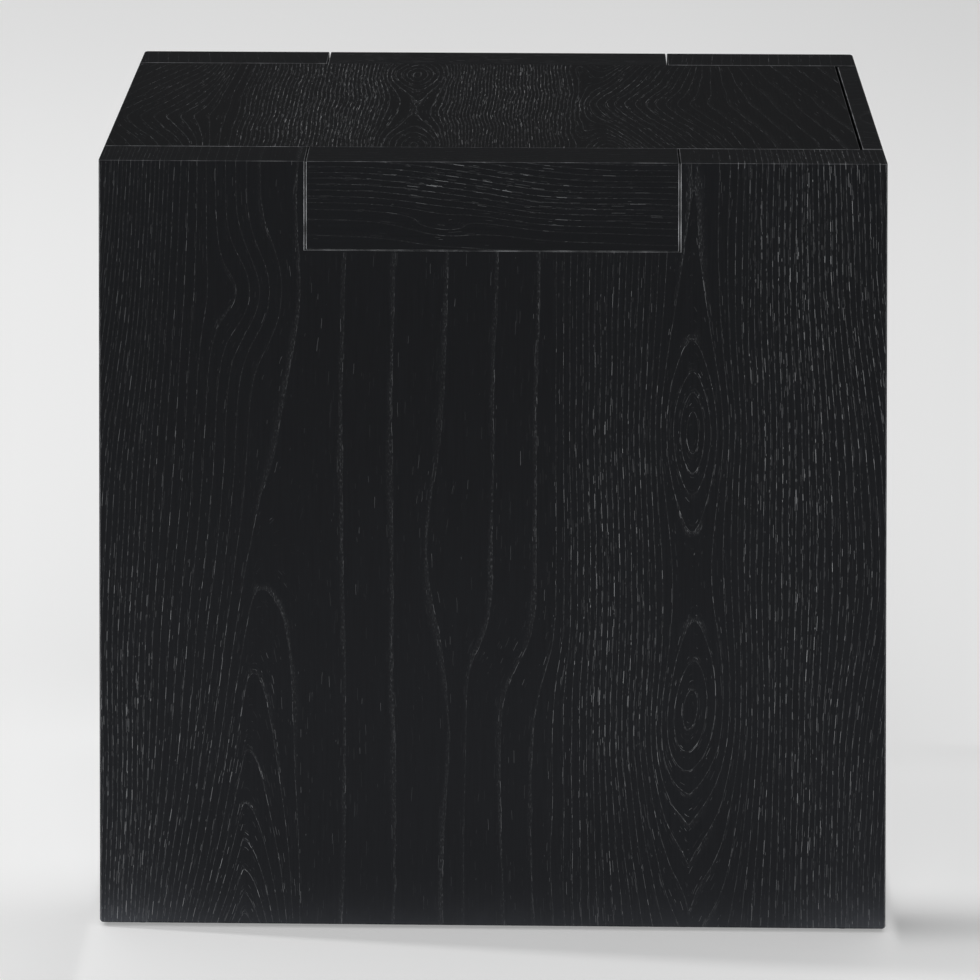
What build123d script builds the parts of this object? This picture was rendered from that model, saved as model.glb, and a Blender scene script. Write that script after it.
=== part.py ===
from build123d import *

import os

# Lidded oak storage box in the shape of an apple box, standing on its base, in millimetres.
# X runs from the closed left end to the door end, -Y is the front, +Z is up.
# The origin is the centre of the box's underside, where the boards end. The floor is one glide lower.

# Whole box, without the glides and the hinge knuckles
WIDTH = 460.0
DEPTH = 230.0
HEIGHT = 450.0
GLIDE_THICKNESS = 2.0

# Boards
SIDE_BOARD = 27.0
PANEL = 18.0
DOOR_THICKNESS = 12.0
CORNER_RADIUS = 2.5
ARRIS_RADIUS = 0.8
FOOT_RADIUS = 1.4
SEAM_CHAMFER = 0.25

# Lid and the notches that its tabs drop into
TAB_WIDTH = 217.5
TAB_HEIGHT = 52.0
TAB_SIDE_GAP = 0.85
TAB_BOTTOM_GAP = 0.3
TAB_ARRIS = 0.45
LID_GAP = 0.35
TAB_BLOCK_DEPTH = 20.0
TAB_BLOCK_INSET = 10.0
LEDGER = 18.0
LEDGER_END_GAP = 2.0

# Door and its butt hinges
DOOR_SLOT = 1.8
DOOR_FRONT_GAP = 1.2
DOOR_REAR_GAP = 2.2
DOOR_FOOT_GAP = 2.0
HINGE_LENGTH = 50.0
HINGE_HEIGHTS = {"lower": 80.0, "upper": 370.0}
KNUCKLE_RADIUS = 2.5
KNUCKLE_COUNT = 5
KNUCKLE_SIDE_GAP = 0.3
LEAF_THICKNESS = 1.0
LEAF_RECESS = 0.4
HINGE_PIN_RADIUS = 1.25
HINGE_PIN_HEAD_RADIUS = 2.1
HINGE_PIN_HEAD = 1.2
RUNNING_CLEARANCE = 0.05

# Touch latch
LATCH_HEIGHT = 300.0
LATCH_FLANGE = (56.0, 2.5, 28.0)
LATCH_BODY = (56.0, 13.0, 14.0)
LATCH_SETBACK = 4.0
LATCH_BORE_RADIUS = 3.6
LATCH_BORE_DEPTH = 52.0
LATCH_TRAVEL = 1.5
PLUNGER_LENGTH = 38.0
PLUNGER_CLEARANCE = 0.08
MAGNET_RADIUS = 2.5
MAGNET_LENGTH = 4.0
MAGNET_PROUD = 0.4
MAGNET_AIR_GAP = 0.05
SPRING_WIRE_RADIUS = 0.3
SPRING_TURNS = 6
STRIKE_RADIUS = 6.0
STRIKE_THICKNESS = 1.0

# Dowels, screws and glides
DOWEL_RADIUS = 4.0
DOWEL_LENGTH = 40.0
DOWEL_END_GAP = 0.5
GLUE_LINE = 0.05
THREAD_GAP = 0.05
LEDGER_SCREW = {"radius": 2.0, "head": 4.0, "length": 38.0}
BLOCK_SCREW = {"radius": 2.0, "head": 4.0, "length": 42.0}
HINGE_SCREW = {"radius": 1.3, "head": 2.4, "length": 16.0}
LATCH_SCREW = {"radius": 1.6, "head": 3.0, "length": 14.0}
STRIKE_SCREW = {"radius": 1.3, "head": 2.4, "length": 9.0}
GLIDE_RADIUS = 10.0
GLIDE_PIN_RADIUS = 1.2
GLIDE_PIN_LENGTH = 14.0

# Places worked out from the sizes above
half_width = WIDTH / 2
half_depth = DEPTH / 2
inner_y = half_depth - SIDE_BOARD
lid_under = HEIGHT - PANEL
door_inner_x = half_width - DOOR_THICKNESS
lid_end_x = door_inner_x - DOOR_SLOT
left_inner_x = -half_width + PANEL
notch_half = TAB_WIDTH / 2 + TAB_SIDE_GAP
tab_foot = HEIGHT - TAB_HEIGHT
notch_floor = tab_foot - TAB_BOTTOM_GAP
lid_edge_y = inner_y - LID_GAP
block_half = TAB_WIDTH / 2 - TAB_BLOCK_INSET
door_front_y = -inner_y + DOOR_FRONT_GAP
door_rear_y = inner_y - DOOR_REAR_GAP
hinge_x = half_width + KNUCKLE_RADIUS
hinge_y = inner_y - DOOR_REAR_GAP / 2
leaf_x = (door_inner_x + half_width) / 2
latch_y = -inner_y + LATCH_BODY[1] - 5.0
latch_face_x = lid_end_x - LATCH_SETBACK
latch_mid_x = latch_face_x - LATCH_BODY[0] / 2
strike_x = door_inner_x - STRIKE_THICKNESS
magnet_tip_x = strike_x - MAGNET_AIR_GAP
plunger_tip_x = magnet_tip_x - MAGNET_PROUD
plunger_back_x = plunger_tip_x - PLUNGER_LENGTH

FACING_UP = (0, 0, 1)
FACING_DOWN = (0, 0, -1)
FACING_FRONT = (0, -1, 0)
FACING_REAR = (0, 1, 0)
FACING_RIGHT = (1, 0, 0)
FACING_LEFT = (-1, 0, 0)


def span_box(x, y, z):
    """A box between the low and high values given for each axis."""
    size = [high - low for low, high in (x, y, z)]
    centre = [(high + low) / 2 for low, high in (x, y, z)]
    return Pos(*centre) * Box(*size)


def rod(radius, length, start, direction):
    """A cylinder that begins at start and runs along direction."""
    plane = Plane(origin=start, z_dir=direction)
    return plane * Pos(0, 0, length / 2) * Cylinder(radius, length)


def edges_along(solid, axis, **at):
    """The straight edges parallel to axis whose middle lies at the coordinates named, such as X=3."""
    chosen = solid.edges().filter_by(GeomType.LINE).filter_by(axis)
    near = 0.01
    return [e for e in chosen if all(abs(getattr(e.center(), k) - v) < near for k, v in at.items())]


def end_edges(solid, z):
    """The straight edges that lie flat at height z."""
    near = 0.01
    flat = [e for e in solid.edges() if abs(e.center().Z - z) < near]
    return [e for e in flat if e.bounding_box().size.Z < near]


def countersunk_screw(screw, head_at, into):
    """A countersunk wood screw with a cross recess. Its head is flush at head_at and it points along into."""
    radius, head, length = screw["radius"], screw["head"], screw["length"]
    cone = head - radius
    plane = Plane(origin=head_at, z_dir=into)
    body = Pos(0, 0, cone / 2) * Cone(head, radius, cone)
    body += Pos(0, 0, (cone + length - head) / 2) * Cylinder(radius, length - head - cone)
    body += Pos(0, 0, length - head / 2) * Cone(radius, radius / 8, head)
    recess = Box(head * 1.1, head * 0.22, cone) + Box(head * 0.22, head * 1.1, cone)
    return plane * (body - recess)


def screw_hole(screw, head_at, into, gap=THREAD_GAP):
    """The countersunk hole a screw sits in, wider than the screw by gap and longer by twice that."""
    radius, head, length = screw["radius"] + gap, screw["head"] + gap, screw["length"] + 2 * gap
    cone = head - radius
    plane = Plane(origin=head_at, z_dir=into)
    body = Pos(0, 0, cone / 2) * Cone(head, radius, cone)
    body += Pos(0, 0, (cone + length) / 2) * Cylinder(radius, length - cone)
    return plane * body


def dowel(middle, axis):
    """A plain round dowel with chamfered ends, centred on middle."""
    pin = Cylinder(DOWEL_RADIUS, DOWEL_LENGTH)
    pin = chamfer(pin.edges().filter_by(GeomType.CIRCLE), DOWEL_RADIUS / 5)
    return Plane(origin=middle, z_dir=axis) * pin


def dowel_hole(middle, axis):
    """The hole a dowel is glued into."""
    hole = Cylinder(DOWEL_RADIUS + GLUE_LINE, DOWEL_LENGTH + 2 * DOWEL_END_GAP)
    return Plane(origin=middle, z_dir=axis) * hole


def cut_all(solid, cutters):
    """The solid with each cutter taken out of it."""
    for cutter in cutters:
        solid -= cutter
    return solid


# Where the fasteners go. Each entry is (place, direction).

def side_dowel_places():
    """Dowels along Y that hold the left end panel between the front and rear boards."""
    heights = [45.0, 135.0, 225.0, 315.0, 400.0]
    x = (-half_width + left_inner_x) / 2
    return [((x, side * (inner_y + 4.0), z), FACING_REAR) for side in (-1, 1) for z in heights]


def base_dowel_places():
    """Dowels along Y that hold the base panel between the front and rear boards."""
    places = [-160.0, -80.0, 0.0, 80.0, 160.0]
    z = PANEL / 2
    return [((x, side * (inner_y + 4.0), z), FACING_REAR) for side in (-1, 1) for x in places]


def tab_dowel_places():
    """Dowels along Y that hold each tab to the edge of the top board."""
    places = [-75.0, -25.0, 25.0, 75.0]
    z = lid_under + PANEL / 2
    return [((x, side * (lid_edge_y + 4.0), z), FACING_REAR) for side in (-1, 1) for x in places]


def ledger_ends(side_x):
    """Low and high X of the ledgers on one side of the notches: -1 is left, 1 is right."""
    near_notch = notch_half + LEDGER_END_GAP
    if side_x < 0:
        return left_inner_x, -near_notch
    return near_notch, lid_end_x


def ledger_screw_places(side_x, side_y):
    """Two screws through each ledger into the board behind it."""
    low, high = ledger_ends(side_x)
    quarter = (high - low) / 4
    y = side_y * (inner_y - LEDGER)
    z = lid_under - LEDGER / 2
    return [((x, y, z), (0, side_y, 0)) for x in (low + quarter, high - quarter)]


def block_screw_places(side_y):
    """Screws through a tab block: three up into the top board and four out into the tab."""
    inner = side_y * (lid_edge_y - TAB_BLOCK_DEPTH)
    middle = side_y * (lid_edge_y - TAB_BLOCK_DEPTH / 2)
    up = [((x, middle, tab_foot + 8.0), FACING_UP) for x in (-50.0, 0.0, 50.0)]
    out = [((x, inner, tab_foot + 12.0), (0, side_y, 0)) for x in (-80.0, -25.0, 25.0, 80.0)]
    return up + out


def hinge_screw_places(middle_z, into_y):
    """Three screws through a hinge leaf. into_y is 1 for the rear board and -1 for the door."""
    rows = [-17.0, 0.0, 17.0]
    y = hinge_y + into_y * (DOOR_REAR_GAP / 2 - LEAF_THICKNESS)
    return [((leaf_x, y, middle_z + row), (0, into_y, 0)) for row in rows]


def latch_screw_places():
    """Four screws at the corners of the latch flange, into the front board."""
    reach_x = LATCH_FLANGE[0] / 2 - 6.0
    reach_z = LATCH_FLANGE[2] / 2 - 3.6
    y = -inner_y + LATCH_FLANGE[1]
    corners = [(dx, dz) for dx in (-reach_x, reach_x) for dz in (-reach_z, reach_z)]
    return [((latch_mid_x + dx, y, LATCH_HEIGHT + dz), FACING_FRONT) for dx, dz in corners]


def glide_places():
    """Centres of the four floor glides, under the ends of the front and rear boards."""
    x = half_width - 25.0
    y = half_depth - SIDE_BOARD / 2
    return [(sx * x, sy * y) for sx in (-1, 1) for sy in (-1, 1)]


# Boards of the carcass

def side_board(side_y):
    """The front (-1) or rear (1) board: full width and height, with a notch for the lid's tab in its top."""
    outer = side_y * half_depth
    inner = side_y * inner_y
    y = (min(outer, inner), max(outer, inner))
    board = span_box((-half_width, half_width), y, (0, HEIGHT))
    for x in (-half_width, half_width):
        board = fillet(edges_along(board, Axis.Z, X=x, Y=outer), CORNER_RADIUS)
    board = fillet(end_edges(board, 0), FOOT_RADIUS)
    board = chamfer(edges_along(board, Axis.X, Y=inner, Z=HEIGHT), SEAM_CHAMFER)
    outer_rim = [e for e in end_edges(board, HEIGHT) if abs(e.center().Y) > inner_y + SEAM_CHAMFER * 2]
    board = fillet(outer_rim, ARRIS_RADIUS)
    board -= span_box((-notch_half, notch_half), y, (notch_floor, HEIGHT + 1))
    for x in (-notch_half, notch_half):
        board = chamfer(edges_along(board, Axis.Z, X=x, Y=outer), TAB_ARRIS)
    board = chamfer(edges_along(board, Axis.X, Y=outer, Z=notch_floor), SEAM_CHAMFER)
    for place, axis in side_dowel_places() + base_dowel_places():
        if place[1] * side_y > 0:
            board -= dowel_hole(place, axis)
    for side_x in (-1, 1):
        for place, into in ledger_screw_places(side_x, side_y):
            board -= screw_hole(LEDGER_SCREW, place, into)
    for x, y_middle in glide_places():
        if y_middle * side_y > 0:
            hole = GLIDE_PIN_RADIUS + THREAD_GAP
            board -= rod(hole, GLIDE_PIN_LENGTH + DOWEL_END_GAP, (x, y_middle, 0), FACING_UP)
    return board


def front_board():
    """The front board, which also carries the latch screws."""
    return cut_all(side_board(-1), [screw_hole(LATCH_SCREW, p, d) for p, d in latch_screw_places()])


def rear_board():
    """The rear board, which also carries the frame leaves of the hinges."""
    board = side_board(1)
    for z in HINGE_HEIGHTS.values():
        board = cut_all(board, [screw_hole(HINGE_SCREW, p, d) for p, d in hinge_screw_places(z, 1)])
    return board


def left_end_panel():
    """The closed end, between the front and rear boards and under the lid."""
    panel = span_box((-half_width, left_inner_x), (-inner_y, inner_y), (0, lid_under - SEAM_CHAMFER))
    panel = chamfer(edges_along(panel, Axis.Y, X=-half_width), SEAM_CHAMFER)
    return cut_all(panel, [dowel_hole(p, d) for p, d in side_dowel_places()])


def base_panel():
    """The floor of the box, level with the foot of the boards. The door closes over its right end."""
    panel = span_box((left_inner_x, lid_end_x), (-inner_y, inner_y), (0, PANEL))
    return cut_all(panel, [dowel_hole(p, d) for p, d in base_dowel_places()])


def ledger(side_x, side_y):
    """A square strip on the inside of a board that the lid's underside rests on."""
    inner = side_y * (inner_y - LEDGER)
    outer = side_y * inner_y
    y = (min(inner, outer), max(inner, outer))
    strip = span_box(ledger_ends(side_x), y, (lid_under - LEDGER, lid_under))
    strip = chamfer(edges_along(strip, Axis.X, Y=inner), ARRIS_RADIUS)
    return cut_all(strip, [screw_hole(LEDGER_SCREW, p, d) for p, d in ledger_screw_places(side_x, side_y)])


def floor_glides():
    """Four nail-in glides: a thin bevelled disc with a pin."""
    glides = []
    for x, y in glide_places():
        disc = Pos(x, y, -GLIDE_THICKNESS / 2) * Cylinder(GLIDE_RADIUS, GLIDE_THICKNESS)
        disc = chamfer(disc.edges().group_by(Axis.Z)[0], GLIDE_THICKNESS / 2)
        glides.append(disc + rod(GLIDE_PIN_RADIUS, GLIDE_PIN_LENGTH, (x, y, 0), FACING_UP))
    return glides


# Lid

def top_board():
    """The lid's board. It lies between the front and rear boards and reaches over the left end panel."""
    board = span_box((-half_width, lid_end_x), (-lid_edge_y, lid_edge_y), (lid_under, HEIGHT))
    board = fillet(edges_along(board, Axis.Y, X=-half_width, Z=HEIGHT), ARRIS_RADIUS)
    board = chamfer(edges_along(board, Axis.Y, X=lid_end_x, Z=HEIGHT), SEAM_CHAMFER)
    for y in (-lid_edge_y, lid_edge_y):
        board = chamfer(edges_along(board, Axis.X, Y=y, Z=HEIGHT), SEAM_CHAMFER)
    board = cut_all(board, [dowel_hole(p, d) for p, d in tab_dowel_places()])
    for side_y in (-1, 1):
        for place, into in block_screw_places(side_y):
            if into == FACING_UP:
                board -= screw_hole(BLOCK_SCREW, place, into)
    return board


def tab(side_y):
    """The piece that fills the notch in a side board, flush with the board's face and top."""
    outer = side_y * half_depth
    inner = side_y * lid_edge_y
    y = (min(outer, inner), max(outer, inner))
    piece = span_box((-TAB_WIDTH / 2, TAB_WIDTH / 2), y, (tab_foot, HEIGHT))
    piece = fillet(edges_along(piece, Axis.X, Y=outer, Z=HEIGHT), ARRIS_RADIUS)
    for x in (-TAB_WIDTH / 2, TAB_WIDTH / 2):
        piece = chamfer(edges_along(piece, Axis.Z, X=x, Y=outer), TAB_ARRIS)
    piece = chamfer(edges_along(piece, Axis.X, Y=outer, Z=tab_foot), SEAM_CHAMFER)
    for place, axis in tab_dowel_places():
        if place[1] * side_y > 0:
            piece -= dowel_hole(place, axis)
    for place, into in block_screw_places(side_y):
        if into != FACING_UP:
            piece -= screw_hole(BLOCK_SCREW, place, into)
    return piece


def tab_block(side_y):
    """The strip behind a tab that ties it to the underside of the top board and locates the lid."""
    inner = side_y * (lid_edge_y - TAB_BLOCK_DEPTH)
    outer = side_y * lid_edge_y
    y = (min(inner, outer), max(inner, outer))
    block = span_box((-block_half, block_half), y, (tab_foot, lid_under))
    block = chamfer(edges_along(block, Axis.X, Y=inner, Z=tab_foot), TAB_BLOCK_DEPTH / 4)
    block = cut_all(block, [screw_hole(BLOCK_SCREW, p, d) for p, d in block_screw_places(side_y)])
    counterbore = BLOCK_SCREW["head"] + THREAD_GAP
    for place, into in block_screw_places(side_y):
        if into == FACING_UP:
            block -= rod(counterbore, place[2] - tab_foot, (place[0], place[1], tab_foot), FACING_UP)
    return block


# Door

def door_panel():
    """The right end of the box, hung inside the ends of the front and rear boards."""
    z = (DOOR_FOOT_GAP, HEIGHT)
    panel = span_box((door_inner_x, half_width), (door_front_y, door_rear_y), z)
    for y in (door_front_y, door_rear_y):
        panel = fillet(edges_along(panel, Axis.Z, X=half_width, Y=y), ARRIS_RADIUS)
    panel = fillet(edges_along(panel, Axis.Y, X=half_width), ARRIS_RADIUS * 0.9)
    panel = chamfer(edges_along(panel, Axis.Y, X=door_inner_x, Z=HEIGHT), SEAM_CHAMFER)
    for z_middle in HINGE_HEIGHTS.values():
        panel = cut_all(panel, [screw_hole(HINGE_SCREW, p, d) for p, d in hinge_screw_places(z_middle, -1)])
    return panel - screw_hole(STRIKE_SCREW, strike_screw_place(), FACING_RIGHT)


def knuckle_spans(middle_z, own):
    """Low and high Z of the knuckles on one leaf: own is 0 for the frame leaf and 1 for the door leaf."""
    pitch = HINGE_LENGTH / KNUCKLE_COUNT
    foot = middle_z - HINGE_LENGTH / 2
    gap = KNUCKLE_SIDE_GAP / 2
    return [(foot + i * pitch + gap, foot + (i + 1) * pitch - gap) for i in range(own, KNUCKLE_COUNT, 2)]


def hinge_leaf(middle_z, into_y):
    """A butt hinge leaf with its knuckles. into_y is 1 for the frame leaf and -1 for the door leaf."""
    face = hinge_y + into_y * DOOR_REAR_GAP / 2
    back = face - into_y * LEAF_THICKNESS
    y = (min(face, back), max(face, back))
    z = (middle_z - HINGE_LENGTH / 2, middle_z + HINGE_LENGTH / 2)
    leaf_edge = hinge_x - KNUCKLE_RADIUS - LEAF_RECESS
    leaf = span_box((door_inner_x + LEAF_RECESS, leaf_edge), y, z)
    bore = HINGE_PIN_RADIUS + (RUNNING_CLEARANCE if into_y < 0 else 0)
    for low, high in knuckle_spans(middle_z, 0 if into_y > 0 else 1):
        start = (hinge_x, hinge_y, low)
        leaf += span_box((leaf_edge - 0.1, hinge_x), y, (low, high))
        leaf += rod(KNUCKLE_RADIUS, high - low, start, FACING_UP)
        leaf -= rod(bore, high - low, start, FACING_UP)
    return cut_all(leaf, [screw_hole(HINGE_SCREW, p, d) for p, d in hinge_screw_places(middle_z, into_y)])


def hinge_pin(middle_z):
    """The pin through a hinge's knuckles, with a domed head at each end, held in the frame leaf."""
    foot = middle_z - HINGE_LENGTH / 2
    pin = rod(HINGE_PIN_RADIUS - 0.01, HINGE_LENGTH, (hinge_x, hinge_y, foot), FACING_UP)
    for z, way in ((foot, FACING_DOWN), (foot + HINGE_LENGTH, FACING_UP)):
        head = rod(HINGE_PIN_HEAD_RADIUS, HINGE_PIN_HEAD, (hinge_x, hinge_y, z), way)
        rims = head.edges().filter_by(GeomType.CIRCLE)
        rim = [e for e in rims if abs(e.center().Z - z) > HINGE_PIN_HEAD / 2]
        pin += fillet(rim, HINGE_PIN_HEAD * 0.8)
    return pin


# Touch latch

def latch_housing():
    """The latch's plastic body and flange, screwed to the front board beside the door's free edge."""
    x = (latch_face_x - LATCH_BODY[0], latch_face_x)
    body = span_box(x, (-inner_y, -inner_y + LATCH_BODY[1]), around(LATCH_HEIGHT, LATCH_BODY[2]))
    body = fillet(edges_along(body, Axis.X, Y=-inner_y + LATCH_BODY[1]), LATCH_BODY[2] / 3)
    flange = span_box(x, (-inner_y, -inner_y + LATCH_FLANGE[1]), around(LATCH_HEIGHT, LATCH_FLANGE[2]))
    flange = fillet(flange.edges().filter_by(Axis.Y), 3.0)
    housing = body + flange
    housing -= rod(LATCH_BORE_RADIUS, LATCH_BORE_DEPTH, (latch_face_x, latch_y, LATCH_HEIGHT), FACING_LEFT)
    return cut_all(housing, [screw_hole(LATCH_SCREW, p, d) for p, d in latch_screw_places()])


def around(middle, size):
    """The low and high value of a span of this size about its middle."""
    return middle - size / 2, middle + size / 2


def latch_plunger():
    """The sliding plunger, with a blind pocket for the magnet in its tip."""
    radius = LATCH_BORE_RADIUS - PLUNGER_CLEARANCE
    body = rod(radius, PLUNGER_LENGTH, (plunger_back_x, latch_y, LATCH_HEIGHT), FACING_RIGHT)
    tip = body.edges().filter_by(GeomType.CIRCLE).sort_by(Axis.X)[-1]
    body = chamfer(tip, radius / 8)
    pocket = MAGNET_LENGTH - MAGNET_PROUD + GLUE_LINE
    return body - rod(MAGNET_RADIUS + GLUE_LINE, pocket, (plunger_tip_x, latch_y, LATCH_HEIGHT), FACING_LEFT)


def latch_magnet():
    """The round magnet at the plunger's tip that holds the door shut."""
    return rod(MAGNET_RADIUS, MAGNET_LENGTH, (magnet_tip_x, latch_y, LATCH_HEIGHT), FACING_LEFT)


def latch_spring():
    """The compression spring behind the plunger, short of it by the push-in travel."""
    bore_end_x = latch_face_x - LATCH_BORE_DEPTH
    room = plunger_back_x - LATCH_TRAVEL - bore_end_x - 4 * SPRING_WIRE_RADIUS
    coil_radius = LATCH_BORE_RADIUS - 2.5 * SPRING_WIRE_RADIUS
    path = Helix(room / SPRING_TURNS, room, coil_radius)
    wire = Plane(origin=path @ 0, z_dir=path % 0) * Circle(SPRING_WIRE_RADIUS)
    coil = sweep(wire, path=path)
    start = (bore_end_x + 2 * SPRING_WIRE_RADIUS, latch_y, LATCH_HEIGHT)
    return Plane(origin=start, z_dir=FACING_RIGHT) * coil


def strike_screw_place():
    """Head of the screw that holds the strike plate to the door's inner face."""
    return strike_x, latch_y, LATCH_HEIGHT


def strike_plate():
    """The steel disc on the door that the latch magnet pulls on."""
    disc = rod(STRIKE_RADIUS, STRIKE_THICKNESS, strike_screw_place(), FACING_RIGHT)
    return disc - screw_hole(STRIKE_SCREW, strike_screw_place(), FACING_RIGHT)


def write(node, pieces):
    """Writes one node's STEP file from one solid or a list of separate solids."""
    solids = pieces if isinstance(pieces, list) else [pieces]
    if len(solids) == 1:
        export_step(solids[0], f"parts/{node}.step")
    else:
        export_step(Compound(children=[s for piece in solids for s in piece.solids()]), f"parts/{node}.step")


def screws(screw, places):
    """One screw at each place."""
    return [countersunk_screw(screw, place, into) for place, into in places]


os.makedirs("parts", exist_ok=True)

write("front_board", front_board())
write("rear_board", rear_board())
write("left_end_panel", left_end_panel())
write("base_panel", base_panel())
write("floor_glides", floor_glides())
write("left_panel_dowels", [dowel(p, d) for p, d in side_dowel_places()])
write("base_panel_dowels", [dowel(p, d) for p, d in base_dowel_places()])

SIDES_X = {"left": -1, "right": 1}
SIDES_Y = {"front": -1, "rear": 1}
ledger_screw_list = []
for name_y, side_y in SIDES_Y.items():
    for name_x, side_x in SIDES_X.items():
        write(f"lid_ledger_{name_y}_{name_x}", ledger(side_x, side_y))
        ledger_screw_list += screws(LEDGER_SCREW, ledger_screw_places(side_x, side_y))
write("ledger_screws", ledger_screw_list)

write("top_board", top_board())
write("lid_tab_dowels", [dowel(p, d) for p, d in tab_dowel_places()])
block_screw_list = []
for name_y, side_y in SIDES_Y.items():
    write(f"{name_y}_tab", tab(side_y))
    write(f"{name_y}_tab_block", tab_block(side_y))
    block_screw_list += screws(BLOCK_SCREW, block_screw_places(side_y))
write("tab_block_screws", block_screw_list)

write("door_panel", door_panel())
frame_screw_list = []
door_screw_list = []
for level, middle_z in HINGE_HEIGHTS.items():
    write(f"{level}_hinge_frame_leaf", hinge_leaf(middle_z, 1))
    write(f"{level}_hinge_door_leaf", hinge_leaf(middle_z, -1))
    write(f"{level}_hinge_pin", hinge_pin(middle_z))
    frame_screw_list += screws(HINGE_SCREW, hinge_screw_places(middle_z, 1))
    door_screw_list += screws(HINGE_SCREW, hinge_screw_places(middle_z, -1))
write("hinge_frame_screws", frame_screw_list)
write("hinge_door_screws", door_screw_list)

write("latch_housing", latch_housing())
write("latch_plunger", latch_plunger())
write("latch_magnet", latch_magnet())
write("latch_spring", latch_spring())
write("latch_screws", screws(LATCH_SCREW, latch_screw_places()))
write("strike_plate", strike_plate())
write("strike_screw", screws(STRIKE_SCREW, [(strike_screw_place(), FACING_RIGHT)]))
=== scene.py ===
"""Looks for the black oak box: open-pore stained oak, coated steel, plastic and a pale studio round it."""

import math

import bpy
from mathutils import Matrix, Vector


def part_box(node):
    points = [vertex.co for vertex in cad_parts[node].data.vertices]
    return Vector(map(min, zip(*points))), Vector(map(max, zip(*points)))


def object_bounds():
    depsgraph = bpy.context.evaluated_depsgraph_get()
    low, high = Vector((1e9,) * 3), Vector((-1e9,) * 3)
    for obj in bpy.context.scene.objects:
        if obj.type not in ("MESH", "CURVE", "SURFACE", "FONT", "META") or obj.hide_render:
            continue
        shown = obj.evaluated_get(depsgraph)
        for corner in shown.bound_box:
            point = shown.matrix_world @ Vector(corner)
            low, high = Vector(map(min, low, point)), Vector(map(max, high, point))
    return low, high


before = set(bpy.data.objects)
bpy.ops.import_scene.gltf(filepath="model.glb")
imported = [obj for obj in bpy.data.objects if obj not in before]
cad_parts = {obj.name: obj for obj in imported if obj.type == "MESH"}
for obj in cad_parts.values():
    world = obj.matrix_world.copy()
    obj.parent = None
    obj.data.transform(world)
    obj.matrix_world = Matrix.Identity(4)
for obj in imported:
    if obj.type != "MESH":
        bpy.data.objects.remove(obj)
CAD_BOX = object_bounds()

MM = 0.001
X, Y, Z = 0, 1, 2
E = math.e


# ---------------------------------------------------------------- formulas as shader nodes

class Signal:
    """A socket of a node tree that is used like a number. A triple holds three numbers at once."""

    def __init__(self, tree, socket, triple=False):
        self.tree = tree
        self.socket = socket
        self.triple = triple

    def __add__(self, other):
        return calc("ADD", self, other)

    def __radd__(self, other):
        return calc("ADD", other, self)

    def __sub__(self, other):
        return calc("SUBTRACT", self, other)

    def __rsub__(self, other):
        return calc("SUBTRACT", other, self)

    def __mul__(self, other):
        return calc("MULTIPLY", self, other)

    def __rmul__(self, other):
        return calc("MULTIPLY", other, self)

    def __truediv__(self, other):
        return calc("DIVIDE", self, other)

    def __rtruediv__(self, other):
        return calc("DIVIDE", other, self)

    def __neg__(self):
        return self * -1.0


def calc(operation, *values):
    """One math node. It is a vector node where any of the values is a triple."""
    signals = [v for v in values if isinstance(v, Signal)]
    tree = signals[0].tree
    triple = any(s.triple for s in signals)
    node = tree.nodes.new("ShaderNodeVectorMath" if triple else "ShaderNodeMath")
    node.operation = operation
    for socket, value in zip(node.inputs, values):
        if isinstance(value, Signal):
            tree.links.new(value.socket, socket)
        else:
            socket.default_value = (value,) * 3 if triple else value
    return Signal(tree, node.outputs[0], triple)


def combine(x, y, z):
    """Three numbers as one triple."""
    parts = (x, y, z)
    tree = next(p.tree for p in parts if isinstance(p, Signal))
    node = tree.nodes.new("ShaderNodeCombineXYZ")
    for socket, value in zip(node.inputs, parts):
        if isinstance(value, Signal):
            tree.links.new(value.socket, socket)
        else:
            socket.default_value = value
    return Signal(tree, node.outputs[0], triple=True)


def split(triple):
    """The three numbers of a triple."""
    node = triple.tree.nodes.new("ShaderNodeSeparateXYZ")
    triple.tree.links.new(triple.socket, node.inputs[0])
    return [Signal(triple.tree, socket) for socket in node.outputs]


def exp(x):
    return calc("POWER", E, x)


def sqrt(x):
    return calc("POWER", x, 0.5)


def floor(x):
    return calc("FLOOR", x)


def fract(x):
    return calc("FRACT", x)


def absolute(x):
    return calc("ABSOLUTE", x)


def clamp(x, low, high):
    return calc("MINIMUM", calc("MAXIMUM", x, low), high)


def tanh(x):
    return 1.0 - 2.0 / (exp(x * 2.0) + 1.0)


def soft_abs(x, width):
    """The size of x, rounded off over width at zero."""
    return sqrt(x * x + width * width)


def smooth(x, low, high):
    """0 below low, 1 above high, and a smooth rise between them."""
    node = x.tree.nodes.new("ShaderNodeMapRange")
    node.interpolation_type = "SMOOTHSTEP"
    x.tree.links.new(x.socket, node.inputs["Value"])
    node.inputs["From Min"].default_value = low
    node.inputs["From Max"].default_value = high
    return Signal(x.tree, node.outputs["Result"])


def mix(a, b, share):
    """a where share is 0, b where it is 1."""
    return a + (b - a) * share


def random(x, y, z):
    """An even random number from 0 to 1 for each whole-number place."""
    place = combine(x, y, z)
    node = place.tree.nodes.new("ShaderNodeTexWhiteNoise")
    node.noise_dimensions = "3D"
    place.tree.links.new(place.socket, node.inputs["Vector"])
    return Signal(place.tree, node.outputs["Value"])


def noise(x, y, z=0.0, detail=2.0, rough=0.5):
    """Smooth noise of about -1 to 1, with one wave for each unit of the place."""
    place = combine(x, y, z)
    node = place.tree.nodes.new("ShaderNodeTexNoise")
    node.inputs["Scale"].default_value = 1.0
    node.inputs["Detail"].default_value = detail
    node.inputs["Roughness"].default_value = rough
    place.tree.links.new(place.socket, node.inputs["Vector"])
    swing = 3.0
    return (Signal(place.tree, node.outputs["Fac"]) - 0.5) * swing


# ---------------------------------------------------------------- materials in general

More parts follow.
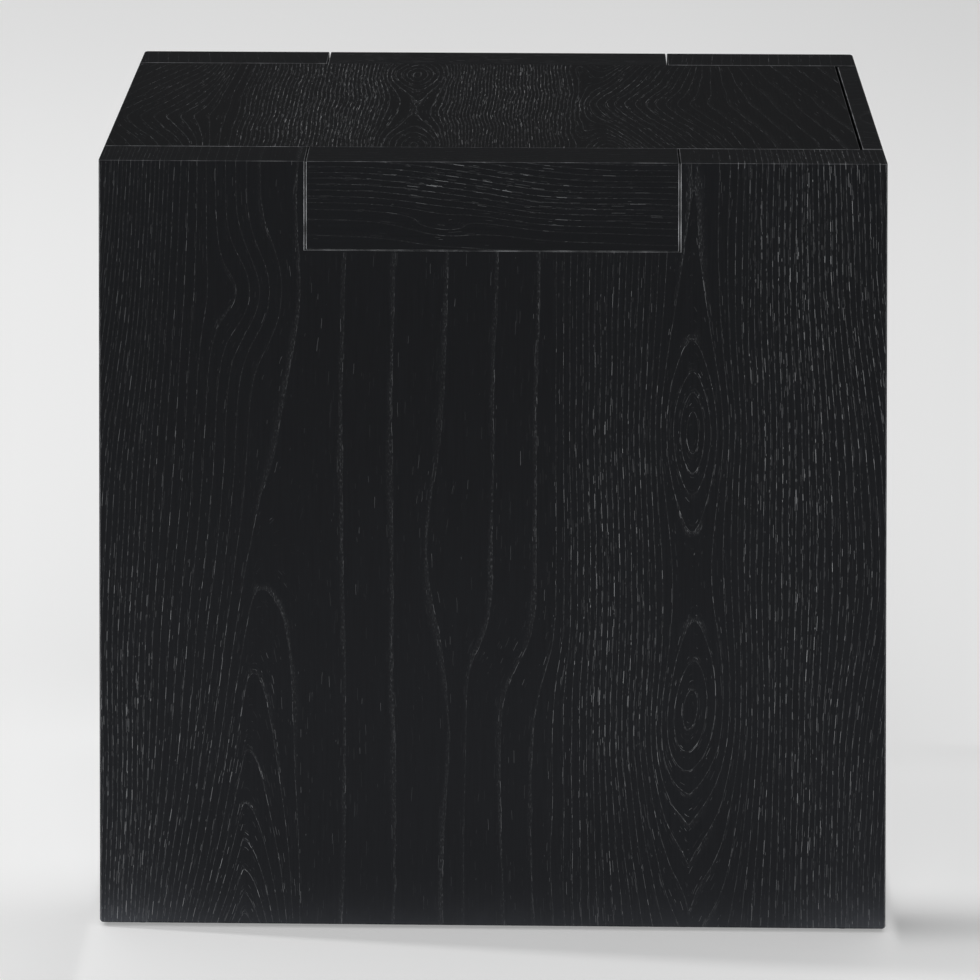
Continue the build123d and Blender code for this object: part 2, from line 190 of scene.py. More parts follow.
def new_material(name):
    """A material with an empty tree, its Principled shader and its output."""
    material = bpy.data.materials.new(name)
    material.use_nodes = True
    tree = material.node_tree
    tree.nodes.clear()
    shader = tree.nodes.new("ShaderNodeBsdfPrincipled")
    output = tree.nodes.new("ShaderNodeOutputMaterial")
    tree.links.new(shader.outputs[0], output.inputs["Surface"])
    return material, tree, shader


def feed(shader, name, value):
    """Sets or drives one input of the shader."""
    socket = shader.inputs[name]
    if isinstance(value, Signal):
        value.tree.links.new(value.socket, socket)
    else:
        socket.default_value = value


def coordinates(tree):
    """The place and the facing of a point on its own piece, each as three numbers, in the frame's axes."""
    node = tree.nodes.new("ShaderNodeTexCoord")
    place = split(Signal(tree, node.outputs["Object"], triple=True))
    facing = split(Signal(tree, node.outputs["Normal"], triple=True))
    return place, facing


def grey(tone, tint=(1.0, 1.0, 1.0)):
    """A colour of one tone, with a slight tint. Tone is a number or a signal."""
    if isinstance(tone, Signal):
        return combine(*[tone * t for t in tint])
    return tuple(tone * t for t in tint) + (1.0,)


def edge_masks(facing):
    """Two masks: rounded edges, upright ones left out, and bevels at 45 degrees. Flat faces have neither."""
    sizes = [absolute(f) for f in facing]
    largest = calc("MAXIMUM", calc("MAXIMUM", sizes[X], sizes[Y]), sizes[Z])
    rounded = (1.0 - smooth(largest, 0.86, 0.955)) * smooth(sizes[Z], 0.15, 0.35)
    bevelled = 1.0 - smooth(largest, 0.715, 0.76)
    return rounded, bevelled


def bump(tree, height, strength, distance):
    """A normal pushed about by a height."""
    node = tree.nodes.new("ShaderNodeBump")
    node.inputs["Strength"].default_value = strength
    node.inputs["Distance"].default_value = distance
    tree.links.new(height.socket, node.inputs["Height"])
    return Signal(tree, node.outputs["Normal"], triple=True)


# ---------------------------------------------------------------- growth rings of each board
# A board's rings take the distance across the grain, u, and along it, v, in metres, and give the number of
# growth rings from the heart. There u and v are triples: the point and its two neighbours, for the slope.
# A board's show takes the point alone and says how strongly its pores show. Places are (across, along),
# closeness is in rings per metre. The front's, top's and front tab's figures follow the photo.

LEFT, RIGHT = -1.0, 1.0


def hill(u, v, centre, size):
    """A round rise of height 1, which falls to 0.37 at the given size."""
    du = (u - centre[0]) / size[0]
    dv = (v - centre[1]) / size[1]
    return exp((du * du + dv * dv) * -1.0)


def eye(u, v, centre, size, flat):
    """A pointed oval swelling of height 1, an eye in the figure. Its middle is round over flat."""
    du = (soft_abs(u - centre[0], flat) - flat) / size[0]
    dv = (v - centre[1]) / size[1]
    away = du + dv * dv
    return 1.0 / (1.0 + away + away * away * 0.12)


def rise(x, width):
    """0 below zero and x above it, rounded off over width."""
    return (x + soft_abs(x, width)) * 0.5


def step(u, centre, width):
    """A smooth rise from -1 to 1 about the centre."""
    return tanh((u - centre) / width)


def wave(u, v, scale, seed=0.0):
    """Smooth noise at the point itself. It is slow enough to leave the slope alone."""
    return noise(split(u)[0] * scale[0], split(v)[0] * scale[1], seed, detail=1.0)


def add_hills(start, u, v, hills):
    """Adds hills to a formula. Each one has its centre, its size and its height."""
    for centre, size, height in hills:
        start = start + hill(u, v, centre, size) * height
    return start


def change_closeness(ring, u, changes):
    """Packs rings closer or wider to one side of a line. Each has its line, side, softness and change."""
    for line, side, softness, closeness in changes:
        ring = ring + rise((u - line) * side, softness) * closeness
    return ring


def front_drift(u, v):
    """How far the front board's rings lean aside: together in the low middle, outwards at both edges."""
    below = 0.5 - step(v, 0.160, 0.022) * 0.5
    drift = below * (step(u, -0.020, 0.005) - step(u, 0.028, 0.017)) * -0.0105
    drift = add_hills(drift, u, v, (
        ((-0.034, 0.225), (0.016, 0.046), -0.010),
        ((-0.028, 0.112), (0.018, 0.045), 0.007),
        ((0.240, 0.215), (0.050, 0.110), 0.017),
        ((-0.250, 0.460), (0.070, 0.140), 0.034),
    ))
    return drift + wave(u, v, (9.0, 5.0)) * 0.0030 + wave(u, v, (60.0, 16.0), 3.0) * 0.0006


def front_arches(u, v):
    """The arches at the front board's lower left, in rings. They climb their own line and fade upwards."""
    arch_line = -0.137
    left_reach, right_reach = 0.085, 0.036
    foot_height, fade_height = 0.080, 0.200
    from_line = u - arch_line - step(v, 0.220, 0.080) * 0.009
    arch = 1.0 - rise(from_line, 0.001) / right_reach - rise(-from_line, 0.001) / left_reach
    climb = exp(v / -foot_height) * 8.0 + (1.0 - step(v, fade_height, 0.060)) * 1.3
    return rise(arch, 0.05) * climb


def front_rings(u, v):
    """A heart line at the right with two eyes and a tongue, wide rings in the middle, close ones beside."""
    heart, tongue_line, tongue_top = 0.117, 0.115, 0.108
    high_eye, low_eye = (0.119, 0.292), (0.114, 0.128)
    u = u - front_drift(u, v)
    ring = soft_abs(u - heart, 0.006) * 60.0 + 0.29
    ring = change_closeness(ring, u, (
        (0.103, LEFT, 0.006, 225.0),
        (0.037, LEFT, 0.006, -252.0),
        (-0.140, LEFT, 0.006, 115.0),
        (-0.200, LEFT, 0.008, 150.0),
        (0.135, RIGHT, 0.010, 245.0),
    ))
    ring = ring - eye(u, v, high_eye, (0.010, 0.034), 0.005) * 4.6
    leaning = u - (v - low_eye[1]) * 0.10
    ring = ring - eye(leaning, v, low_eye, (0.012, 0.036), 0.007) * 3.4
    ring = ring + hill(u, v, (-0.146, 0.372), (0.020, 0.030)) * 2.6
    aside = soft_abs(u - tongue_line, 0.001)
    tongue = exp(aside * aside / -0.0014) - 0.35 / (aside / 0.007 + 1.0)
    ring = ring + tongue * rise(tongue_top - v, 0.008) * 45.0
    return ring - front_arches(u, v)


def front_show(u, v):
    """How strongly the pores show over the front board."""
    left = hill(u, v, (-0.215, 0.10), (0.050, 0.19)) * 0.65
    return add_hills(left, u, v, (
        ((0.188, 0.28), (0.045, 0.34), 1.15),
        ((0.068, 0.17), (0.036, 0.18), 0.9),
        ((-0.15, 0.05), (0.06, 0.11), 0.5),
        ((0.117, 0.29), (0.016, 0.07), 0.45),
        ((0.114, 0.09), (0.018, 0.08), 0.45),
    )) + 0.28


def top_drift(u, v):
    """How far the top board's rings lean aside: arrow tips at the left end, a fan towards the door."""
    fan = soft_abs(v - 0.002, 0.006) * (step(u, 0.060, 0.010) - step(u, 0.140, 0.020)) * 0.20
    fan = fan - (step(u, 0.135, 0.020) + 1.0) * v * 0.14
    tip = soft_abs(v + 0.028, 0.006) * (1.0 - step(u, -0.172, 0.010)) * 0.26
    return fan + tip + wave(u, v, (11.0, 16.0), 11.0) * 0.0030 + wave(u, v, (50.0, 30.0), 13.0) * 0.0006


def top_rings(u, v):
    """Close rings either side of a heart line with two eyes, then a fan of arrow shapes towards the door."""
    heart = -0.049
    rear_eye, front_eye = (-0.051, 0.063), (-0.046, -0.084)
    u = u - top_drift(u, v)
    ring = soft_abs(u - heart, 0.003) * 110.0 + 0.4
    ring = change_closeness(ring, u, (
        (-0.067, LEFT, 0.004, 264.0),
        (-0.156, LEFT, 0.004, -295.0),
        (-0.182, LEFT, 0.004, 41.0),
        (-0.034, RIGHT, 0.004, 335.0),
        (0.056, RIGHT, 0.006, -290.0),
        (0.115, RIGHT, 0.010, -85.0),
    ))
    ring = ring - eye(u, v, rear_eye, (0.013, 0.026), 0.007) * 5.0
    return ring - eye(u, v, front_eye, (0.013, 0.030), 0.009) * 5.0


def top_show(u, v):
    """How strongly the pores show over the top board."""
    left = hill(u, v, (-0.105, 0.0), (0.045, 0.20)) * 0.9
    return add_hills(left, u, v, (
        ((0.010, 0.03), (0.045, 0.12), 1.0),
        ((-0.048, 0.03), (0.030, 0.12), 0.6),
        ((0.085, -0.02), (0.035, 0.08), 0.6),
        ((-0.195, 0.0), (0.025, 0.12), 0.5),
    )) + 0.50


def tab_rings(u, v):
    """Rows that step down to the right, close together except at the foot, with one small swirl."""
    drift = step(v, 0.0, 0.050) * -0.0075 + wave(u, v, (20.0, 9.0), 17.0) * 0.0016
    u = u - drift
    ring = change_closeness(u * 95.0, u, ((0.412, RIGHT, 0.004, 200.0),))
    return ring + eye(u, v, (0.409, -0.030), (0.003, 0.013), 0.001) * 2.0


def tab_show(u, v):
    """How strongly the pores show over a tab."""
    upper = hill(u, v, (0.438, -0.015), (0.013, 0.070)) * 0.75
    return add_hills(upper, u, v, (
        ((0.422, 0.045), (0.012, 0.045), 0.35),
        ((0.407, -0.022), (0.005, 0.018), 0.5),
    )) + 0.15


def plain_rings(heart, closeness, climb, seed, start=0.12):
    """Rings of a board with no feature of note: arches up a heart line, upright rings beside it.

    closeness is in rings per metre across the grain and climb along it, counted from start below zero."""

    def rings(u, v):
        drift = wave(u, v, (10.0, 4.0), seed) * 0.0045 + wave(u, v, (55.0, 15.0), seed + 2.0) * 0.0006
        away = (u - drift - heart) * closeness
        height = (v + start) * climb
        return sqrt(away * away + height * height)

    return rings


def plain_show(seed, level=0.40):
    """Pores that show more in some parts of a board than in others."""

    def show(u, v):
        return level + 0.30 * noise(u * 7.0, v * 3.0, seed, detail=1.0)

    return show


# ---------------------------------------------------------------- black oak

class Cut:
    """How a board lies: the axis through it and its face's side, and the axes across and along the grain."""

    def __init__(self, node, through, side, across, along):
        low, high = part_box(node)
        self.through = through
        self.side = side
        self.across = across
        self.along = along
        self.face = (high if side > 0 else low)[through]
        self.low = low
        self.high = high


def unfold(place, facing, cut):
    """Distances across and along the grain, going on round the edges as if the face were folded."""
    depth = (cut.face - place[cut.through]) * cut.side
    way_across = calc("ROUND", facing[cut.across])
    way_along = calc("ROUND", facing[cut.along])
    return place[cut.across] + way_across * depth, place[cut.along] + way_along * depth


def near_arris(place, cut):
    """1 along the twelve edges of the board's box, 0 away from them."""
    gaps = []
    for axis in (X, Y, Z):
        gaps.append(calc("MINIMUM", place[axis] - cut.low[axis], cut.high[axis] - place[axis]))
    least = calc("MINIMUM", gaps[X], gaps[Y])
    other = calc("MAXIMUM", gaps[X], gaps[Y])
    second = calc("MAXIMUM", least, calc("MINIMUM", other, gaps[Z]))
    return 1.0 - smooth(second, 0.30 * MM, 0.85 * MM)


COLUMN = 0.42 * MM          # spacing of the pore columns between growth rings
DASH = 10.0 * MM            # length of the cells that a pore dash is drawn in
CROSSING = 2.5 * MM         # width of the cells that break up a row running across the grain
PORE_HALF_WIDTH = 0.12 * MM
SLOPE_STEP = 0.2 * MM
LEAST_SLOPE = 4.0           # rings per metre where the rings are widest
WANDER = (330.0, 110.0)     # how often a row of pores wanders, per metre across and along
ROW_DEPTH = 0.40 * MM       # how far a ring's row of large pores reaches
BAND_DEPTH = 2.4 * MM       # how far its band of smaller pores reaches
WIDE_RING = (7.0 * MM, 18.0 * MM)   # ring widths between which a ring starts to show its ragged band


def ring_slope(ring):
    """The ring number at the point, its change per metre, and a share, low where rings cross the grain."""
    here, across, along = split(ring)
    across = (across - here) / SLOPE_STEP
    along = (along - here) / SLOPE_STEP
    slope = sqrt(across * across + along * along)
    lean = mix(0.45, 1.0, smooth(absolute(across) / slope, 0.10, 0.80))
    return here, slope, lean


def dashes_of(ring, slope, wide, u, v, show, seed):
    """Short strokes in columns along the rings: bright and many in a ring's row, dim and few after it."""
    octave = floor(calc("LOGARITHM", 1.0 / (slope * COLUMN), 2.0) + 0.5)
    count = calc("POWER", 2.0, octave)
    column = floor(ring * count)
    middle = (column + 0.5) / count
    from_ring = (middle - floor(middle)) / slope
    row = exp(from_ring / -ROW_DEPTH)
    band = exp(from_ring / -BAND_DEPTH)

    shift = random(column, octave, seed)
    cell_place = v / DASH + shift * 17.0
    cell = floor(cell_place)
    along = cell_place - cell
    crossing = floor(u / CROSSING) * 13.0
    chance = random(column, cell + crossing, seed + 7.0)
    other = random(column, cell + crossing, seed + 19.0)

    wanted = (row * 1.4 + band * (0.20 + 0.20 * wide) + 0.03 + 0.05 * wide) * (show * 0.7 + 0.35)
    there = 1.0 - smooth(chance / wanted, 0.80, 1.0)
    length = mix(0.12, 0.95, other)
    start = (1.0 - length) * fract(other * 57.0)
    ends = smooth(along - start, 0.0, 0.06) * (1.0 - smooth(along - start - length, -0.06, 0.0))
    jitter = (shift - 0.5) * 0.10 * MM
    offset = absolute((ring * count - column - 0.5) / (slope * count) + jitter)
    width = 1.0 - smooth(offset, PORE_HALF_WIDTH * 0.4, PORE_HALF_WIDTH * 1.3)
    bright = 0.15 + 0.95 * calc("POWER", fract(chance * 97.0 + other * 31.0), 5.0)
    return there * ends * width * bright * mix(0.45, 1.0, row)


def specks_of(ring, slope, wide, u, v, seed):
    """Fine specks: a thread of them along each ring's line, and a ragged band on the widest rings."""
    fine = smooth(noise(u * 1900.0, v * 520.0, seed + 11.0, detail=1.0), -0.1, 1.2)
    edge = (ring - floor(ring)) / slope
    thread = smooth(edge, 0.0, 0.10 * MM) * (1.0 - smooth(edge, 0.15 * MM, 0.55 * MM))
    reach_share = smooth(noise(u * 45.0, v * 13.0, seed + 23.0, detail=3.0), -0.8, 1.3)
    reach = mix(1.0, 7.5, reach_share) * MM
    patch = smooth(noise(u * 22.0, v * 12.0, seed + 29.0, detail=2.0), -0.9, 0.9)
    band = (1.0 - smooth(edge / reach, 0.20, 1.0)) * smooth(edge, 0.0, 0.3 * MM)
    band = band * wide * mix(0.25, 1.25, patch)
    return thread * (0.035 + 0.28 * fine) * (1.0 - 0.6 * wide) + band * (0.016 + 0.32 * fine)


def open_pores(ring, slope, lean, u, v, show, seed):
    """The open pores along each growth ring's early wood. 0 is none, 1 is the brightest."""
    slope = calc("MAXIMUM", slope, LEAST_SLOPE)
    wander = noise(u * WANDER[0], v * WANDER[1], seed + 3.0, detail=1.0)
    wide = smooth(1.0 / slope, *WIDE_RING)
    ring = ring + wander * slope * (0.10 + 0.30 * wide) * MM
    dashes = dashes_of(ring, slope, wide, u, v, show, seed) * lean
    specks = specks_of(ring, slope, wide, u, v, seed) * lean
    return dashes * (show + 0.12 * wide) + specks * (0.35 + 0.65 * show)


OAK_TINT = (0.93, 0.99, 1.13)
PORE_AND_EDGE_TINT = (0.98, 1.0, 1.03)
OAK_GROUND = 0.0080         # tone of the black stain between the pores
PORE_TONE = 0.34            # tone of the brightest pore
LEVEL_SHADE_SHARE = 0.80   # painted shade: the ground of level boards darker than the rest, against the stronger light from above
# painted light: the pores of level boards a little brighter than the rest
LEVEL_PORE_LIGHT_SHARE = 1.05
ARRIS_HIGHLIGHT = 0.010           # painted highlight along the sharp edges of a board
# a stronger painted highlight along the door's sharp edges, for the bright edge beside the slot
DOOR_ARRIS_HIGHLIGHT = 0.120


def worn_and_highlit_edges(place, facing, upright, cut, patchiness, arris_highlight):
    """Lighter edges, partly wear and partly painted highlight: rounded edges a little, bevels more and
    upright ones most, sharp edges by the painted highlight.
    """
    rounded, bevelled = edge_masks(facing)
    edge_brightening = rounded * mix(0.008, 0.120, smooth(patchiness, -0.3, 1.5))
    edge_brightening = edge_brightening + bevelled * mix(0.2, 1.05, smooth(patchiness, -0.6, 0.6)) * mix(0.15, 0.40, upright)
    return edge_brightening + near_arris(place, cut) * smooth(patchiness, -1.0, 1.5) * arris_highlight


def painted_foot_bounce(place, patchiness):
    """Painted light on the box's foot, standing in for the floor's bounce: strongest at the floor and
    towards both ends, fading far up.
    """
    height = calc("MAXIMUM", place[Z], 0.0)
    ends = smooth(absolute(place[X]), 150.0 * MM, 235.0 * MM)
    bounce_at_floor = exp(height / (-11.0 * MM)) * (0.018 + 0.020 * ends) * (1.0 + 0.3 * patchiness)
    bounce_near_ends = exp(height / (-45.0 * MM)) * 0.006 * ends
    low_bounce = (1.0 - smooth(height, 60.0 * MM, 390.0 * MM)) * 0.0042
    return bounce_at_floor + bounce_near_ends + low_bounce


def black_oak(name, cut, rings, shows, seed, arris_highlight):
    """Black stained oak: open pores, a faint silk sheen, edges lighter from wear and painted highlights,
    painted shade on level boards and painted light on the foot.
    """
    material, tree, shader = new_material(name)
    place, facing = coordinates(tree)
    u, v = unfold(place, facing, cut)
    us = combine(u, u + SLOPE_STEP, u)
    vs = combine(v, v, v + SLOPE_STEP)
    here, slope, lean = ring_slope(rings(us, vs))
    show = shows(u, v)
    pores = open_pores(here, slope, lean, u, v, show, seed)

    level = cut.through == Z
    # level boards get the painted shade on their ground and the brighter pores
    base = OAK_GROUND * (LEVEL_SHADE_SHARE if level else 1.0)
    pore_tone = PORE_TONE * (LEVEL_PORE_LIGHT_SHARE if level else 1.0)
    fibre = noise(u * 900.0, v * 26.0, seed, detail=2.0)
    cloud = noise(u * 9.0, v * 6.0, seed + 5.0, detail=2.0)
    ground = base + (0.0011 + 0.0014 * show) * fibre + 0.0008 * cloud
    # noise that breaks up the lighter edges and the painted light on the foot
    patchiness = noise(place[X] * 60.0, place[Y] * 60.0, place[Z] * 60.0, detail=4.0, rough=0.7)
    upright = 1.0 - smooth(absolute(facing[Z]), 0.2, 0.5)
    # painted light on the foot of the upright faces, standing in for the floor's bounce
    tone = ground + painted_foot_bounce(place, patchiness) * upright
    # pores, and edges lighter from wear and painted highlights
    pores_and_edges = pores * pore_tone + worn_and_highlit_edges(place, facing, upright, cut, patchiness, arris_highlight)
    feed(shader, "Base Color", grey(tone, OAK_TINT) + grey(pores_and_edges, PORE_AND_EDGE_TINT))
    feed(shader, "Roughness", clamp(0.66 + 0.05 * fibre + 0.05 * cloud + pores * 0.5, 0.3, 0.95))
    feed(shader, "Specular IOR Level", 0.05)
    feed(shader, "Normal", bump(tree, fibre, 0.10, 0.05 * MM))
    return material


# ---------------------------------------------------------------- beech, metals and plastics

def beech(name):
    """Pale dowel wood with fine flecks along the dowel."""
    material, tree, shader = new_material(name)
    place, _ = coordinates(tree)
    grain = noise(place[X] * 1400.0, place[Y] * 60.0, place[Z] * 1400.0, detail=3.0)
    fleck = smooth(noise(place[X] * 2500.0, place[Y] * 350.0, place[Z] * 2500.0), 0.45, 0.8)
    tone = 0.46 + 0.06 * grain - 0.10 * fleck
    feed(shader, "Base Color", grey(tone, (1.15, 0.82, 0.53)))
    feed(shader, "Roughness", 0.6 + 0.08 * grain)
    feed(shader, "Normal", bump(tree, grain, 0.15, 0.1 * MM))
    return material


def metal(name, tone, tint, roughness, brushed):
    """A metal brushed along one axis, with finger marks and darker hollows between strokes."""
    material, tree, shader = new_material(name)
    place, facing = coordinates(tree)
    pace = [60.0 if axis == brushed else 2600.0 for axis in (X, Y, Z)]
    strokes = noise(*[p * k for p, k in zip(place, pace)], detail=3.0, rough=0.6)
    marks = noise(*[p * 130.0 for p in place], detail=3.0)
    _, bevelled = edge_masks(facing)
    feed(shader, "Base Color", grey(tone * (1.0 + 0.10 * strokes - 0.08 * marks + 0.25 * bevelled), tint))
    feed(shader, "Metallic", 1.0)
    feed(shader, "Roughness", clamp(roughness + 0.07 * strokes + 0.06 * marks, 0.08, 0.9))
    feed(shader, "Normal", bump(tree, strokes, 0.12, 0.03 * MM))
    return material


def plastic(name, tone, tint, roughness):
    """Moulded plastic or a baked-on coating, with a fine texture and lighter rounded and bevelled edges."""
    material, tree, shader = new_material(name)
    place, facing = coordinates(tree)
    pits = noise(*[p * 1900.0 for p in place], detail=3.0, rough=0.6)
    cloud = noise(*[p * 45.0 for p in place], detail=2.0)
    rounded, bevelled = edge_masks(facing)
    edge = rounded * 0.20 + bevelled * 0.30
    feed(shader, "Base Color", grey(tone * (1.0 + 0.06 * pits + 0.08 * cloud + edge), tint))
    feed(shader, "Roughness", clamp(roughness + 0.06 * pits + 0.05 * cloud, 0.15, 0.95))
    feed(shader, "Specular IOR Level", 0.4)
    feed(shader, "Normal", bump(tree, pits, 0.20, 0.05 * MM))
    return material


# ---------------------------------------------------------------- what each piece is made of

def oak_boards():
    """Every oak piece with its axes (through, side, across, along), its rings and where its pores show."""
    boards = {
        "front_board": (Y, -1, X, Z, front_rings, front_show),
        "rear_board": (Y, 1, X, Z, plain_rings(-0.060, 170.0, 26.0, 41.0), plain_show(43.0)),
        "left_end_panel": (X, -1, Y, Z, plain_rings(0.022, 230.0, 30.0, 51.0), plain_show(53.0)),
        "door_panel": (X, 1, Y, Z, plain_rings(-0.025, 210.0, 26.0, 61.0), plain_show(63.0)),
        "base_panel": (Z, -1, Y, X, plain_rings(0.035, 200.0, 24.0, 71.0, start=0.35), plain_show(73.0)),
        "top_board": (Z, 1, X, Y, top_rings, top_show),
        "front_tab": (Y, -1, Z, X, tab_rings, tab_show),
        "rear_tab": (Y, 1, Z, X, plain_rings(0.395, 330.0, 12.0, 81.0, start=0.30), plain_show(83.0)),
    }
    ledger_rings = plain_rings(0.40, 300.0, 12.0, 91.0, start=0.50)
    block_rings = plain_rings(0.38, 300.0, 12.0, 95.0, start=0.50)
    strip_show = plain_show(93.0)
    for side, facing in (("front", 1), ("rear", -1)):
        for end in ("left", "right"):
            boards[f"lid_ledger_{side}_{end}"] = (Y, facing, Z, X, ledger_rings, strip_show)
        boards[f"{side}_tab_block"] = (Y, facing, Z, X, block_rings, strip_show)
    return boards


def oak_finishes():
    """A material for each oak piece. The seed is the piece's number, so no two boards are alike."""
    finishes = {}
    for seed, (node, (through, side, across, along, rings, shows)) in enumerate(oak_boards().items(), 1):
        cut = Cut(node, through, side, across, along)
        arris_highlight = DOOR_ARRIS_HIGHLIGHT if node == "door_panel" else ARRIS_HIGHLIGHT
        finishes[node] = black_oak("oak_" + node, cut, rings, shows, float(seed), arris_highlight)
    return finishes


def fitting_finishes():
    """Materials for the dowels, screws, hinges, latch and glides."""
    finishes = {}
    dowel_wood = beech("beech_dowel")
    black_screw = metal("black_zinc_screw", 0.10, (1.0, 1.0, 1.04), 0.38, Y)
    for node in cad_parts:
        if node.endswith("dowels"):
            finishes[node] = dowel_wood
        elif node.endswith(("screws", "screw")):
            finishes[node] = black_screw
    black_coat = plastic("black_satin_coated_steel", 0.018, (1.0, 1.0, 1.03), 0.36)
    pin_steel = metal("blackened_steel_pin", 0.12, (1.0, 1.0, 1.03), 0.30, Z)
    for place in ("lower", "upper"):
        finishes[place + "_hinge_frame_leaf"] = black_coat
        finishes[place + "_hinge_door_leaf"] = black_coat
        finishes[place + "_hinge_pin"] = pin_steel
    finishes["latch_housing"] = plastic("black_latch_shell", 0.035, (1.0, 1.0, 1.05), 0.50)
    finishes["latch_plunger"] = plastic("black_latch_slide", 0.040, (1.0, 1.0, 1.05), 0.42)
    finishes["latch_magnet"] = metal("nickel_plate", 0.62, (1.0, 0.98, 0.94), 0.16, X)
    finishes["latch_spring"] = metal("drawn_spring_wire", 0.42, (1.0, 1.0, 1.0), 0.28, X)
    finishes["strike_plate"] = metal("zinc_plate", 0.45, (1.0, 1.0, 1.02), 0.30, Z)
    finishes["floor_glides"] = plastic("matt_glide", 0.020, (1.0, 1.0, 1.05), 0.62)
    return finishes


def finish_pieces():
    """Gives every piece of the frame its own finish. Each board has its own figure."""
    finishes = {**oak_finishes(), **fitting_finishes()}
    for node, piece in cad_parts.items():
        piece.data.materials.clear()
        piece.data.materials.append(finishes[node])


# ---------------------------------------------------------------- studio

FLOOR_REACH = 14.0
FLOOR_Z = CAD_BOX[0].z
STUDIO_TONE = 0.86
FLOOR_TONE = 0.80
FLOOR_GLOW = 0.24           # the paper's own light, which softens the narrow light's shade
LIFT_SHARE = 0.85
BOX_END = 0.232             # from the middle to either end of the box, near enough for the floor's tones
FRONT_CORNER = -0.108       # just behind the front face, where the painted shadow on the floor is darkest beside the door end
REAR_SHADE_LINE = (0.1135, 0.1160)  # the rear edge of the box's own shade, beside the door end
SHADE_LEAN = 0.022          # how that edge leans forwards, away from the light


def add_object(name, data):
    """A new object in the scene, with its mesh, light or camera."""
    made = bpy.data.objects.new(name, data)
    bpy.context.scene.collection.objects.link(made)
    return made


def floor_lift(place):
    """How much more or less the paper glows close to the box's two ends, from about -1 to 1.15: painted
    light that lifts the narrow light's shade beside the box, and painted shadow by the door end's front
    corner and by the left end's front.
    """
    x, y = place[X], place[Y]
    aside = absolute(x) - BOX_END
    beside = smooth(aside, 0.0, 0.008) * exp(aside / -0.12)
    left_rise = smooth(y, -0.120, -0.030) * (0.85 - 0.85 * smooth(y, 0.02, 0.25))
    right_rise = smooth(y, -0.104, -0.058) * (1.15 - 0.38 * smooth(y, 0.070, 0.115))
    right_rise = right_rise * (1.0 - smooth(y + SHADE_LEAN * aside, *REAR_SHADE_LINE))
    behind = mix(left_rise, right_rise, smooth(x, -0.1, 0.1))
    # painted shadow: the floor darkened beside the door end's front corner
    from_corner = (y - FRONT_CORNER) / 0.016
    corner = exp(from_corner * from_corner * -1.0) * smooth(x, 0.20, 0.24)
    # painted shade: the floor darkened beside the left end, towards the front
    painted_left_shade = smooth(y, -0.07, -0.12) * smooth(x, -0.20, -0.25)
    return beside * (behind - 0.95 * corner - 0.40 * painted_left_shade)


def studio_floor():
    """A pale floor that turns into the world's own tone far from the object, so that no horizon shows."""
    mesh = bpy.data.meshes.new("studio_floor")
    sides = 64
    turns = [2 * math.pi * i / sides for i in range(sides)]
    rim = [(FLOOR_REACH * math.cos(t), FLOOR_REACH * math.sin(t), FLOOR_Z) for t in turns]
    mesh.from_pydata(rim, [], [list(range(sides))])
    material, tree, shader = new_material("studio_paper")
    place, _ = coordinates(tree)
    grain = noise(place[X] * 300.0, place[Y] * 300.0, 0.0, detail=2.0)
    # painted falloff of the light: the paper darker far behind the box and towards the right
    paper_and_falloff = 1.0 + 0.004 * grain - 0.10 * smooth(place[Y], 0.9, 2.1) - 0.04 * smooth(place[X], 0.1, 0.6)
    feed(shader, "Base Color", grey(paper_and_falloff * FLOOR_TONE))
    glow = paper_and_falloff * FLOOR_GLOW * (1.0 + LIFT_SHARE * floor_lift(place))
    feed(shader, "Emission Color", grey(glow))
    feed(shader, "Emission Strength", 1.0)
    feed(shader, "Roughness", 0.9)
    feed(shader, "Specular IOR Level", 0.1)
    fade_to_studio(tree, shader, smooth(sqrt(place[X] * place[X] + place[Y] * place[Y]), 2.5, 7.0))
    mesh.materials.append(material)
    add_object("studio_floor", mesh)


def fade_to_studio(tree, shader, far):
    """Turns the shader into the world's own tone where far is 1."""
    distance_glow = tree.nodes.new("ShaderNodeEmission")
    distance_glow.inputs["Color"].default_value = grey(STUDIO_TONE)
    blend = tree.nodes.new("ShaderNodeMixShader")
    tree.links.new(far.socket, blend.inputs[0])
    tree.links.new(shader.outputs[0], blend.inputs[1])
    tree.links.new(distance_glow.outputs[0], blend.inputs[2])
    output = next(n for n in tree.nodes if n.type == "OUTPUT_MATERIAL")
    tree.links.new(blend.outputs[0], output.inputs["Surface"])


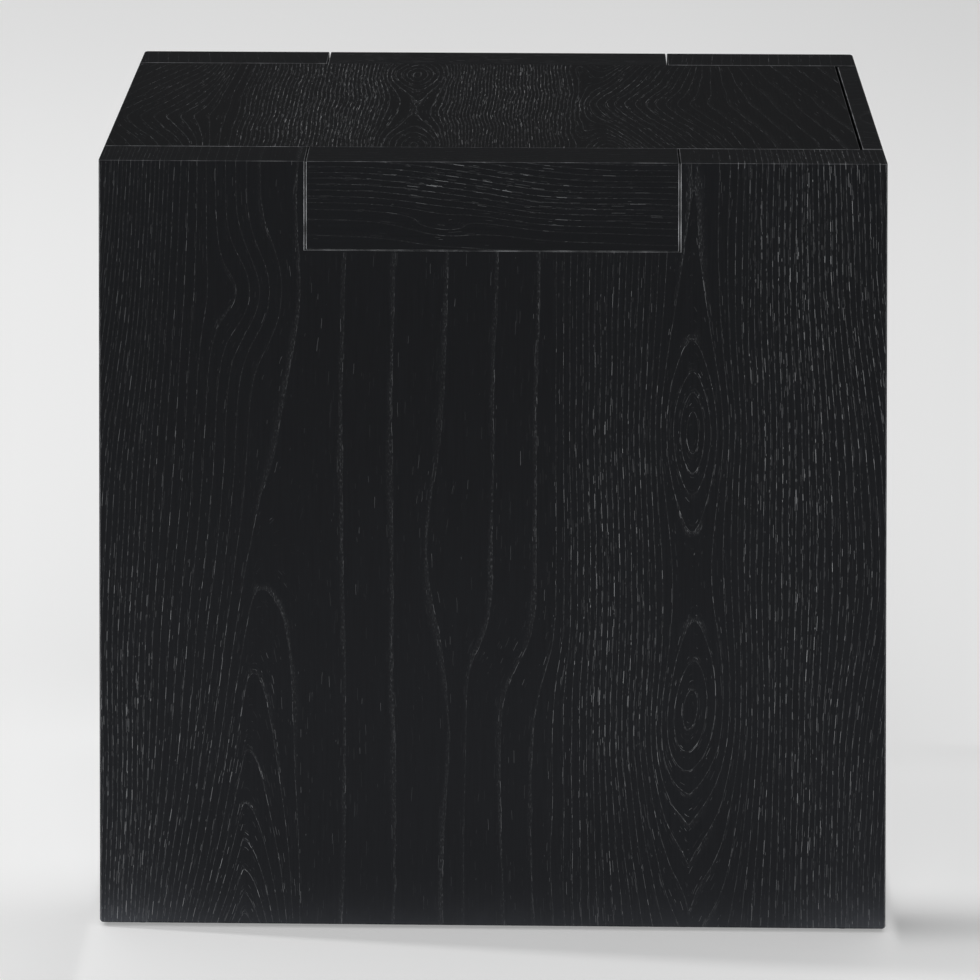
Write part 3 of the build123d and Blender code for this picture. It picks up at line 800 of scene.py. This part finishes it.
def studio_world():
    """The camera sees a pale tone. A dome lights the object: bright low down and overhead, dark between."""
    world = bpy.data.worlds.new("studio_world")
    bpy.context.scene.world = world
    world.use_nodes = True
    tree = world.node_tree
    tree.nodes.clear()
    node = tree.nodes.new("ShaderNodeTexCoord")
    up = split(Signal(tree, node.outputs["Generated"], triple=True))[Z]
    low_tone, high_tone = 0.61, 0.79
    dome = low_tone * (1.0 - smooth(up, 0.22, 0.38)) + high_tone * smooth(up, 0.55, 0.75)
    path = tree.nodes.new("ShaderNodeLightPath")
    seen = Signal(tree, path.outputs["Is Camera Ray"])
    background = tree.nodes.new("ShaderNodeBackground")
    tree.links.new(grey(mix(dome, STUDIO_TONE, seen)).socket, background.inputs["Color"])
    output = tree.nodes.new("ShaderNodeOutputWorld")
    tree.links.new(background.outputs[0], output.inputs["Surface"])


def soft_light(name, place, target, size, power):
    """A rectangular softbox at place, turned to target."""
    light = bpy.data.lights.new(name, "AREA")
    light.shape = "RECTANGLE"
    light.size, light.size_y = size
    light.energy = power
    lamp = add_object(name, light)
    way = Vector(target) - Vector(place)
    lamp.matrix_world = Matrix.Translation(place) @ way.to_track_quat("-Z", "Y").to_matrix().to_4x4()


def camera_axes(yaw, pitch, roll):
    """The camera's right, up and forward directions for angles in degrees."""
    yaw, pitch, roll = (math.radians(angle) for angle in (yaw, pitch, roll))
    forward = Vector((-math.sin(yaw) * math.cos(pitch), math.cos(yaw) * math.cos(pitch), math.sin(pitch)))
    level = Vector((math.cos(yaw), math.sin(yaw), 0.0))
    upward = level.cross(forward)
    right = level * math.cos(roll) + upward * math.sin(roll)
    up = upward * math.cos(roll) - level * math.sin(roll)
    return right, up, forward


def studio_camera():
    """A long lens with the front standard lowered, so that upright edges stay parallel.

    The shift is a shear, held by the camera's parent link."""
    place = Vector((0.0309, -2.0674, 1.0578))
    right, up, forward = camera_axes(yaw=0.871, pitch=-1.197, roll=0.035)
    lens_mm = 123.99
    sensor_mm = 36.0
    shift, fall = 0.0015, 0.3857
    back = right * shift + up * fall - forward
    stretch = back.length
    sheared = Matrix((right, up, back / stretch)).transposed().to_4x4()
    sheared.translation = place

    data = bpy.data.cameras.new("studio_camera")
    data.sensor_width = sensor_mm
    data.lens = lens_mm * stretch
    camera = add_object("studio_camera", data)
    camera.parent = add_object("camera_standard", None)
    camera.matrix_parent_inverse = sheared
    bpy.context.scene.camera = camera


finish_pieces()
studio_floor()
studio_world()
soft_light("strip_light_left", (-3.6, 0.20, 3.2), (-0.2, -0.03, 0.1), (0.12, 1.8), 60.0)
soft_light("fill_softbox_front", (-0.2, -3.4, 0.9), (0.0, 0.0, 0.25), (2.4, 1.4), 41.0)
studio_camera()
bpy.context.scene.view_settings.view_transform = "Standard"
